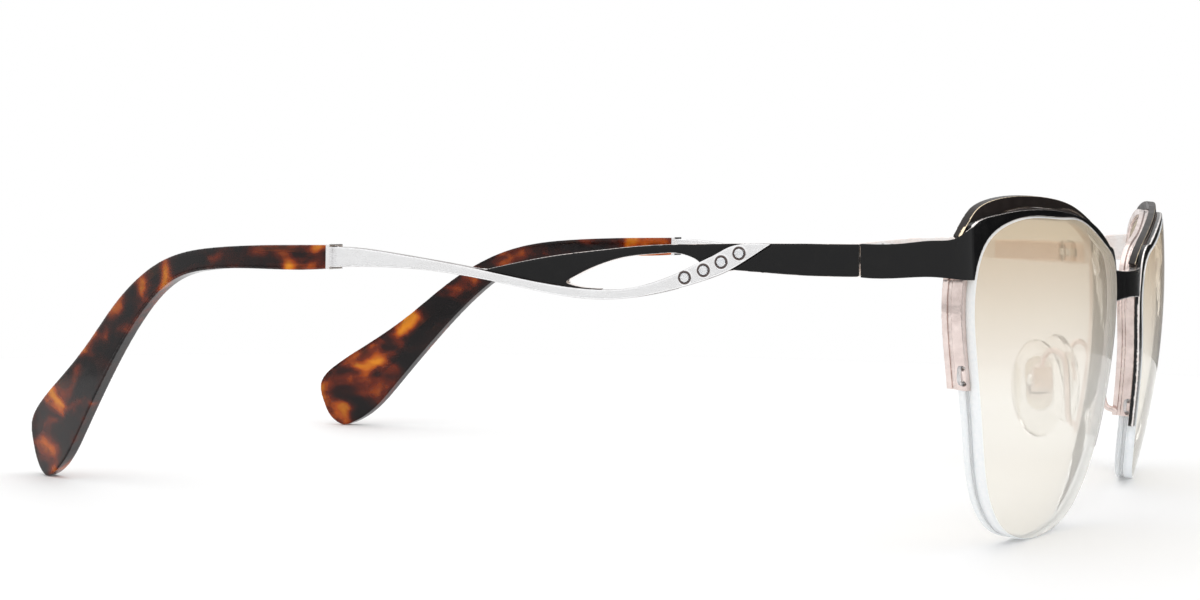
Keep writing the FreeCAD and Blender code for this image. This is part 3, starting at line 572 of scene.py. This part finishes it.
def make_lens():
    """Two polished faces and a ground edge with a groove and small bevels."""
    build = bmesh.new()
    count = len(OUTLINE)

    def ring(inset, depth):
        made = []
        for point, out in zip(OUTLINE, OUTWARD):
            at = point - out * inset
            made.append(build.verts.new((at.x, depth(at.x, at.z), at.z)))
        return made

    def scaled(share, depth):
        made = []
        for point, out in zip(OUTLINE, OUTWARD):
            at = (point - out * EDGE_BEVEL) * share
            made.append(build.verts.new((at.x, depth(at.x, at.z), at.z)))
        return made

    def join(first, second, material):
        for k in range(count):
            face = build.faces.new((first[k], first[(k + 1) % count], second[(k + 1) % count], second[k]))
            face.material_index = material
            face.smooth = True

    shares = [0.04, 0.12, 0.24, 0.38, 0.52, 0.66, 0.78, 0.88, 0.95]
    groove_back = GROOVE_FRONT + GROOVE_WIDTH
    profile = [(0.0, EDGE_BEVEL * 0.8), (0.0, GROOVE_FRONT), (GROOVE_DEPTH * 0.6, GROOVE_FRONT + GROOVE_LIP),
               (GROOVE_DEPTH, GROOVE_FRONT + GROOVE_WIDTH * 0.3),
               (GROOVE_DEPTH, groove_back - GROOVE_WIDTH * 0.3),
               (GROOVE_DEPTH * 0.6, groove_back - GROOVE_LIP), (0.0, groove_back)]
    front = [scaled(share, front_depth) for share in shares] + [ring(EDGE_BEVEL, front_depth)]
    for first, second in zip(front, front[1:]):
        join(second, first, 0)
    middle = build.verts.new((0.0, 0.0, 0.0))
    for k in range(count):
        face = build.faces.new((front[0][k], front[0][(k + 1) % count], middle))
        face.smooth = True
    edge = [front[-1]]
    edge += [ring(inset, lambda h, v, d=depth: front_depth(h, v) + d) for inset, depth in profile]
    back = [scaled(share, back_depth) for share in shares] + [ring(EDGE_BEVEL, back_depth)]
    edge += [ring(0.0, lambda h, v: back_depth(h, v) - EDGE_BEVEL * 0.8), back[-1]]
    for first, second in zip(edge, edge[1:]):
        join(second, first, 1)
    for first, second in zip(back, back[1:]):
        join(first, second, 0)
    middle = build.verts.new((0.0, CENTRE_THICKNESS, 0.0))
    for k in range(count):
        face = build.faces.new((back[0][(k + 1) % count], back[0][k], middle))
        face.smooth = True
    sharp = [e for e in build.edges if len(e.link_faces) == 2
             and e.link_faces[0].material_index != e.link_faces[1].material_index]
    for e in sharp:
        e.smooth = False
    bmesh.ops.recalc_face_normals(build, faces=build.faces)
    mesh = bpy.data.meshes.new("lens")
    build.to_mesh(mesh)
    build.free()
    mesh.transform(LENS_PLACE)
    return mesh


def edge_index(height, temple_side):
    """The outline sample nearest a height on one side of the lens."""
    found = [(abs(p.z - height), i) for i, p in enumerate(OUTLINE) if (p.x > 0) == temple_side]
    return min(found)[1]


def make_cord():
    """One round strand: in at a hole, round below the lens in its groove, and out at the other side."""
    depth = GROOVE_FRONT + GROOVE_WIDTH / 2.0

    def at(index, inset):
        point = OUTLINE[index % len(OUTLINE)] - OUTWARD[index % len(OUTLINE)] * inset
        return Vector((point.x, front_depth(point.x, point.z) + depth, point.z))

    temple_low, temple_top = (edge_index(LEG_ENDS[0] + above, True) for above in HOLES_ABOVE_END)
    nose_low, nose_top = (edge_index(LEG_ENDS[1] + above, False) for above in HOLES_ABOVE_END)
    seat = GROOVE_DEPTH - CORD_RADIUS
    first = temple_low - 3
    last = nose_low - len(OUTLINE) + 3
    path = [at(temple_top, 0.1 * MM), at(temple_top, -RIM_OUTSIDE * 0.8),
            at((temple_top + temple_low) // 2, -RIM_OUTSIDE - CORD_RADIUS * 0.7),
            at(temple_low, -RIM_OUTSIDE * 0.8), at(temple_low, 0.0)]
    path += [at(index, seat) for index in range(first, last, -3)]
    path += [at(nose_low, 0.0), at(nose_low, -RIM_OUTSIDE * 0.8),
             at((nose_top + nose_low) // 2, -RIM_OUTSIDE - CORD_RADIUS * 0.7),
             at(nose_top, -RIM_OUTSIDE * 0.8), at(nose_top, 0.1 * MM)]
    return tube([LENS_PLACE @ p for p in curved(path, 4)], CORD_RADIUS, 12)


# =====================================================================================
# Plates, bridge and temples
# =====================================================================================

LENS_BALL = LENS_PLACE @ Vector((0.0, FRONT_RADIUS, 0.0))
ENDPIECE_LOW = HINGE.z - 2.4 * MM
BEND_RADIUS = 3.0 * MM


def bend_centre():
    """The middle of the endpiece's bend seen from above."""
    places, _ = places_and_normals(frame["nodes"]["front_plate_left"].data)
    places = places[places[:, 2] > ENDPIECE_LOW]
    outside = places[:, 0].max()
    near = places[np.abs(places[:, 0] - (outside - BEND_RADIUS)) < 0.6 * MM]
    return outside - BEND_RADIUS, near[:, 1].min() + BEND_RADIUS


BEND_X, BEND_Y = bend_centre()


def plate_outward(places):
    """Which way the front plate's outer face looks at each place."""
    from_ball = places - np.array(LENS_BALL)
    from_ball /= np.linalg.norm(from_ball, axis=1)[:, None]
    from_bend = places - np.array([BEND_X, BEND_Y, 0.0])
    from_bend[:, 2] = 0.0
    from_bend[:, 0] = np.maximum(from_bend[:, 0], 1e-6)
    from_bend[:, 1] = np.minimum(from_bend[:, 1], 0.0)
    from_bend /= np.linalg.norm(from_bend, axis=1)[:, None]
    bent = (places[:, 0] > BEND_X) & (places[:, 2] > ENDPIECE_LOW)
    return np.where(bent[:, None], from_bend, from_ball)


def mark_bare(mesh, outward):
    """Writes where the metal is bare: everywhere but the outer face."""
    places, normals = places_and_normals(mesh)
    facing = (normals * outward(places)).sum(axis=1)
    set_attribute(mesh, "bare", 1.0 - step(facing, 0.45, 0.8))
    return mesh


def behind_front(places):
    """How far each place lies behind the sphere of the lens's front face."""
    turn = np.array(LENS_PLACE.inverted())
    local = places @ turn[:3, :3].T + turn[:3, 3]
    return FRONT_RADIUS - np.linalg.norm(local - np.array([0.0, FRONT_RADIUS, 0.0]), axis=1)


def sideways(places):
    """The temple's outer face looks to the side everywhere."""
    return np.tile(np.array([1.0, 0.0, 0.0]), (len(places), 1))


def forwards(places):
    """The bridge's outer face looks to the front everywhere."""
    return np.tile(np.array([0.0, -1.0, 0.0]), (len(places), 1))


def make_plate():
    """Lacquered, but for the front step and the back."""
    mesh = softened("front_plate_left", 0.08, 2, 0.5)
    places, normals = places_and_normals(mesh)
    facing = (normals * plate_outward(places)).sum(axis=1)
    front_edge = (1.0 - step(facing, 0.5, 0.8)) * (1.0 - step(behind_front(places), 0.30 * MM, 0.42 * MM))
    back = 1.0 - step(facing, -0.8, -0.4)
    set_attribute(mesh, "bare", np.maximum(front_edge, back))
    return mesh


def make_wing():
    """Lacquered all round, with the metal showing as a thin line along the front edge."""
    mesh = softened("brow_wing_left", 0.08, 2, 0.6)
    places, normals = places_and_normals(mesh)
    facing = (normals * plate_outward(places)).sum(axis=1)
    edge = step(facing, 0.3, 0.5) * (1.0 - step(facing, 0.78, 0.92))
    set_attribute(mesh, "bare", edge * (1.0 - step(behind_front(places), 1.1 * MM, 1.4 * MM)))
    return mesh


def make_bar():
    """The black half of the temple, bare inside and along its edges."""
    return mark_bare(softened("temple_bar_left", 0.1, 5, 0.45), sideways)


def make_tip():
    """The tip, thinner towards its end."""
    mesh = softened("temple_tip_left", 0.18, 4, 0.5)
    places, _ = places_and_normals(mesh)
    marks = np.linspace(TIP_FRONT, TIP_BACK, 40)
    middles = []
    for mark in marks:
        near = places[np.abs(places[:, 1] - mark) < 1.2 * MM][:, 0]
        middles.append((near.min() + near.max()) / 2.0)
    middle = np.interp(places[:, 1], marks, middles)
    share = 1.0 - 0.36 * step(places[:, 1], TIP_FRONT + 5.0 * MM, TIP_FRONT + 35.0 * MM)
    places[:, 0] = middle + (places[:, 0] - middle) * share
    mesh.vertices.foreach_set("co", places.ravel())
    mesh.update()
    return mesh


def make_swoosh():
    """Painted shade on the silver line: darker along its edges and in rings round the stones' settings."""
    mesh = softened("temple_swoosh_left", 0.08, 3, 0.6)
    places, normals = places_and_normals(mesh)
    # Painted shade along the edges that turn away from the outer face.
    shade = 0.75 * (1.0 - step(normals[:, 0], 0.6, 0.92)) * step(normals[:, 0], -0.5, 0.0)
    for group in islands("temple_crystals_left"):
        stone = np.array(group)
        middle = (stone.min(axis=0) + stone.max(axis=0)) / 2.0
        radius = (stone[:, 1].max() - stone[:, 1].min()) / 2.0
        away = np.linalg.norm((places - middle)[:, 1:], axis=1)
        # Painted shade in a ring round each stone's setting.
        near = step(away, radius - 0.05 * MM, radius + 0.05 * MM)
        near -= step(away, radius + 0.2 * MM, radius + 0.34 * MM)
        shade = np.maximum(shade, near * (places[:, 0] > middle[0] - 0.6 * MM))
    set_attribute(mesh, "shade", shade)
    return mesh


# =====================================================================================
# Small parts
# =====================================================================================

def islands(node):
    """The separate solids of a node, as lists of places, from front to back."""
    build = bmesh.new()
    build.from_mesh(frame["nodes"][node].data)
    bmesh.ops.remove_doubles(build, verts=build.verts, dist=1e-7)
    seen, groups = set(), []
    for vert in build.verts:
        if vert in seen:
            continue
        seen.add(vert)
        stack, group = [vert], []
        while stack:
            here = stack.pop()
            group.append(here.co.copy())
            for link in here.link_edges:
                other = link.other_vert(here)
                if other not in seen:
                    seen.add(other)
                    stack.append(other)
        groups.append(group)
    build.free()
    return sorted(groups, key=lambda group: group[0].y)


def make_crystals():
    """Brilliant-cut stones: a girdle, eight kite facets, stars and a table."""
    build = bmesh.new()
    for group in islands("temple_crystals_left"):
        places = np.array(group)
        low, high = places.min(axis=0), places.max(axis=0)
        centre = Vector((low + high) / 2.0)
        radius = (high[1] - low[1]) / 2.0
        levels = [(low[0], 0.45, 0.0), (high[0] - 0.30 * MM, 1.0, 0.5), (high[0] - 0.22 * MM, 1.0, 0.0),
                  (high[0] - 0.06 * MM, 0.74, 0.5), (high[0], 0.52, 0.0)]
        rings = []
        for x, share, turn in levels:
            ring = []
            for k in range(8):
                angle = 2 * math.pi * (k + turn) / 8
                ring.append(build.verts.new((x, centre.y + math.cos(angle) * radius * share,
                                             centre.z + math.sin(angle) * radius * share)))
            rings.append(ring)
        for index, (first, second) in enumerate(zip(rings, rings[1:])):
            shift = 0 if levels[index][2] == 0.0 else 1
            for k in range(8):
                build.faces.new((first[k], first[(k + 1) % 8], second[(k + shift) % 8]))
                build.faces.new((first[(k + 1) % 8], second[(k + 1 + shift) % 8], second[(k + shift) % 8]))
        build.faces.new(rings[-1])
        build.faces.new(list(reversed(rings[0])))
    bmesh.ops.recalc_face_normals(build, faces=build.faces)
    mesh = bpy.data.meshes.new("crystals")
    build.to_mesh(mesh)
    build.free()
    return mesh


ARM_RADIUS = 0.42 * MM
ARM_BITE = 0.9
ARM_FOOT_HEIGHT = -8.0 * MM
ARM_FOOT_OUT = 1.01 * MM
ARM_FOOT_DEPTH = 2.93 * MM
ARM_BENDS = [(0.0, 0.0, 0.0), (-0.2, 1.5, 0.9), (-0.5, 1.9, 4.5), (-0.9, 2.3, 8.4), (-1.5, 3.3, 9.8),
             (-2.3, 4.8, 10.1), (-3.2, 5.9, 9.0), (-3.7, 6.3, 7.4)]


def make_arm():
    """The bent wire from the rim to the pad box."""
    index = edge_index(ARM_FOOT_HEIGHT, False)
    foot = OUTLINE[index] + OUTWARD[index] * ARM_FOOT_OUT
    foot.y = front_depth(foot.x, foot.z) + ARM_FOOT_DEPTH
    start = LENS_PLACE @ foot - Vector((ARM_RADIUS * ARM_BITE, 0.0, 0.0))
    return tube(curved([start + Vector(bend) * MM for bend in ARM_BENDS], 8), ARM_RADIUS, 16)


def make_spring():
    """A wound coil round the plunger, in the space of the CAD node's rings."""
    low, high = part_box("hinge_spring_left")
    wire = 0.09 * MM
    radius = (high.x - low.x) / 2.0 - wire
    middle = (low + high) / 2.0
    turns, samples = 9, 20
    points = []
    for index in range(turns * samples + 1):
        angle = 2 * math.pi * index / samples
        y = low.y + wire + (high.y - low.y - 2 * wire) * index / (turns * samples)
        points.append((middle.x + radius * math.cos(angle), y, middle.z + radius * math.sin(angle)))
    return tube(points, wire, 8)


# =====================================================================================
# Putting the pieces on the frame
# =====================================================================================

def plain(node, voxel, passes, share):
    """A maker for a node that only needs its edges rounded."""
    return lambda: softened(node + "_left", voxel, passes, share)


MAKERS = {
    "lens": (make_lens, [optic, ground]),
    "nylon_cord": (make_cord, [nylon]),
    "rim_liner": (plain("rim_liner", 0.09, 2, 0.5), [nylon]),
    "rim": (plain("rim", 0.07, 1, 0.4), [pale_rose]),
    "front_plate": (make_plate, [black_plate]),
    "brow_wing": (make_wing, [brown_wing]),
    "hinge_base": (plain("hinge_base", 0.09, 3, 0.5), [rose_gold]),
    "hinge_screw": (plain("hinge_screw", 0.05, 2, 0.5), [steel]),
    "spring_carriage": (plain("spring_carriage", 0.07, 2, 0.5), [steel]),
    "spring_housing": (plain("spring_housing", 0.1, 5, 0.5), [rose_gold]),
    "hinge_spring": (make_spring, [steel]),
    "temple_bar": (make_bar, [black_plate]),
    "temple_swoosh": (make_swoosh, [swoosh_silver]),
    "temple_crystals": (make_crystals, [crystal]),
    "temple_core": (plain("temple_core", 0.15, 6, 0.6), [steel]),
    "temple_tip": (make_tip, [acetate]),
    "tip_collar": (plain("tip_collar", 0.06, 3, 0.6), [silver]),
    "pad_arm": (make_arm, [pale_rose]),
    "pad_box": (plain("pad_box", 0.06, 3, 0.5), [pale_rose]),
    "pad_screw": (plain("pad_screw", 0.05, 2, 0.6), [bright_steel]),
    "pad_core": (plain("pad_core", 0.08, 3, 0.6), [bright_steel]),
    "nose_pad": (plain("nose_pad", 0.14, 10, 0.6), [silicone]),
}

for name, (make, materials) in MAKERS.items():
    left = make()
    right = mirrored_mesh(left, name + "_right_finish")
    piece(name + "_left_finish", left, [name + "_left"], materials)
    piece(name + "_right_finish", right, [name + "_right"], materials)

bridge = mark_bare(softened("bridge", 0.09, 5, 0.6), forwards)
piece("bridge_finish", bridge, ["bridge"], [black_plate])


# =====================================================================================
# Studio
# =====================================================================================

def make_floor():
    """A round white floor under the glasses."""
    build = bmesh.new()
    sides = 96
    middle = build.verts.new((0.0, 0.0, 0.0))
    previous = None
    for radius in (0.06, 0.12, 0.19, FLOOR_RADIUS):
        ring = []
        for k in range(sides):
            angle = 2 * math.pi * k / sides
            ring.append(build.verts.new((radius * math.cos(angle), radius * math.sin(angle), 0.0)))
        for k in range(sides):
            if previous is None:
                build.faces.new((middle, ring[k], ring[(k + 1) % sides]))
            else:
                build.faces.new((previous[k], ring[k], ring[(k + 1) % sides], previous[(k + 1) % sides]))
        previous = ring
    mesh = bpy.data.meshes.new("floor")
    build.to_mesh(mesh)
    build.free()
    floor = bpy.data.objects.new("floor", mesh)
    bpy.context.scene.collection.objects.link(floor)
    look = Look("pale_floor")
    cloud = look.noise(60.0, 2.0, 0.5)
    look.colour(look.mix(cloud, (0.93, 0.93, 0.93), (0.95, 0.95, 0.95)))
    look.rough(cloud, 0.6, 0.7)
    look.set(Emission_Color=(1.0, 1.0, 1.0, 1.0), Emission_Strength=0.03)
    mesh.materials.append(look.material)


def make_world():
    """A white studio seen straight or through the lenses; what it lights with has two dark regions."""
    world = bpy.data.worlds.new("studio")
    bpy.context.scene.world = world
    world.use_nodes = True
    tree = world.node_tree
    tree.nodes.clear()

    def add(kind, **settings):
        node = tree.nodes.new(kind)
        for key, value in settings.items():
            setattr(node, key, value)
        return node

    def ramp(source, stops):
        node = add("ShaderNodeValToRGB")
        node.color_ramp.interpolation = "EASE"
        elements = node.color_ramp.elements
        for element, (place, grey) in zip(elements, stops):
            element.position, element.color = place, (grey, grey, grey, 1.0)
        tree.links.new(source, node.inputs["Fac"])
        return node.outputs["Color"]

    out, mix = add("ShaderNodeOutputWorld"), add("ShaderNodeMixShader")
    seen, lit = add("ShaderNodeBackground"), add("ShaderNodeBackground")
    path, coords = add("ShaderNodeLightPath"), add("ShaderNodeTexCoord")
    straight = add("ShaderNodeMath", operation="MAXIMUM")
    toward = add("ShaderNodeVectorMath", operation="DOT_PRODUCT")
    toward.inputs[1].default_value = DARK_SIDE
    height = add("ShaderNodeSeparateXYZ")
    shifted = add("ShaderNodeMath", operation="ADD")
    shifted.inputs[1].default_value = 0.5
    both = add("ShaderNodeMix", data_type="RGBA", blend_type="MULTIPLY")
    both.inputs["Factor"].default_value = 1.0
    tree.links.new(coords.outputs["Generated"], toward.inputs[0])
    tree.links.new(coords.outputs["Generated"], height.inputs["Vector"])
    tree.links.new(height.outputs["Z"], shifted.inputs[0])
    tree.links.new(ramp(toward.outputs["Value"], [(0.68, 1.0), (0.93, 0.03)]), both.inputs[6])
    tree.links.new(ramp(shifted.outputs["Value"], [(0.36, 0.20), (0.5, 1.0)]), both.inputs[7])
    tree.links.new(both.outputs[2], lit.inputs["Color"])
    seen.inputs["Color"].default_value = (1.0, 1.0, 1.0, 1.0)
    tree.links.new(path.outputs["Is Camera Ray"], straight.inputs[0])
    tree.links.new(path.outputs["Is Transmission Ray"], straight.inputs[1])
    tree.links.new(straight.outputs["Value"], mix.inputs["Fac"])
    tree.links.new(lit.outputs["Background"], mix.inputs[1])
    tree.links.new(seen.outputs["Background"], mix.inputs[2])
    tree.links.new(mix.outputs["Shader"], out.inputs["Surface"])


def add_light(name, place, aim, size, power):
    """A soft rectangular light that looks at a point."""
    light = bpy.data.lights.new(name, "AREA")
    light.shape = "RECTANGLE"
    light.size, light.size_y = size
    light.energy = power
    obj = bpy.data.objects.new(name, light)
    obj.location = place
    obj.rotation_euler = (Vector(aim) - Vector(place)).to_track_quat("-Z", "Y").to_euler()
    bpy.context.scene.collection.objects.link(obj)


def make_camera():
    """The camera: its yaw is counted from +X towards +Y."""
    data = bpy.data.cameras.new("camera")
    data.sensor_width = 36.0
    data.lens = CAMERA_LENS
    data.clip_start = 0.005
    camera = bpy.data.objects.new("camera", data)
    bpy.context.scene.collection.objects.link(camera)
    forward = Vector((math.cos(CAMERA_PITCH) * math.cos(CAMERA_YAW),
                      math.cos(CAMERA_PITCH) * math.sin(CAMERA_YAW), math.sin(CAMERA_PITCH)))
    level_right = forward.cross(Vector((0.0, 0.0, 1.0))).normalized()
    level_up = level_right.cross(forward)
    right = level_right * math.cos(CAMERA_ROLL) + level_up * math.sin(CAMERA_ROLL)
    up = level_up * math.cos(CAMERA_ROLL) - level_right * math.sin(CAMERA_ROLL)
    place = Matrix((right, up, -forward)).transposed().to_4x4()
    place.translation = Vector(CAMERA_PLACE)
    camera.matrix_world = place
    bpy.context.scene.camera = camera


make_floor()
make_world()
add_light("top_softbox", (0.1, 0.05, 0.9), (0.0, 0.0, 0.0), (1.2, 1.2), 2.2)
make_camera()
bpy.context.scene.view_settings.view_transform = "Standard"
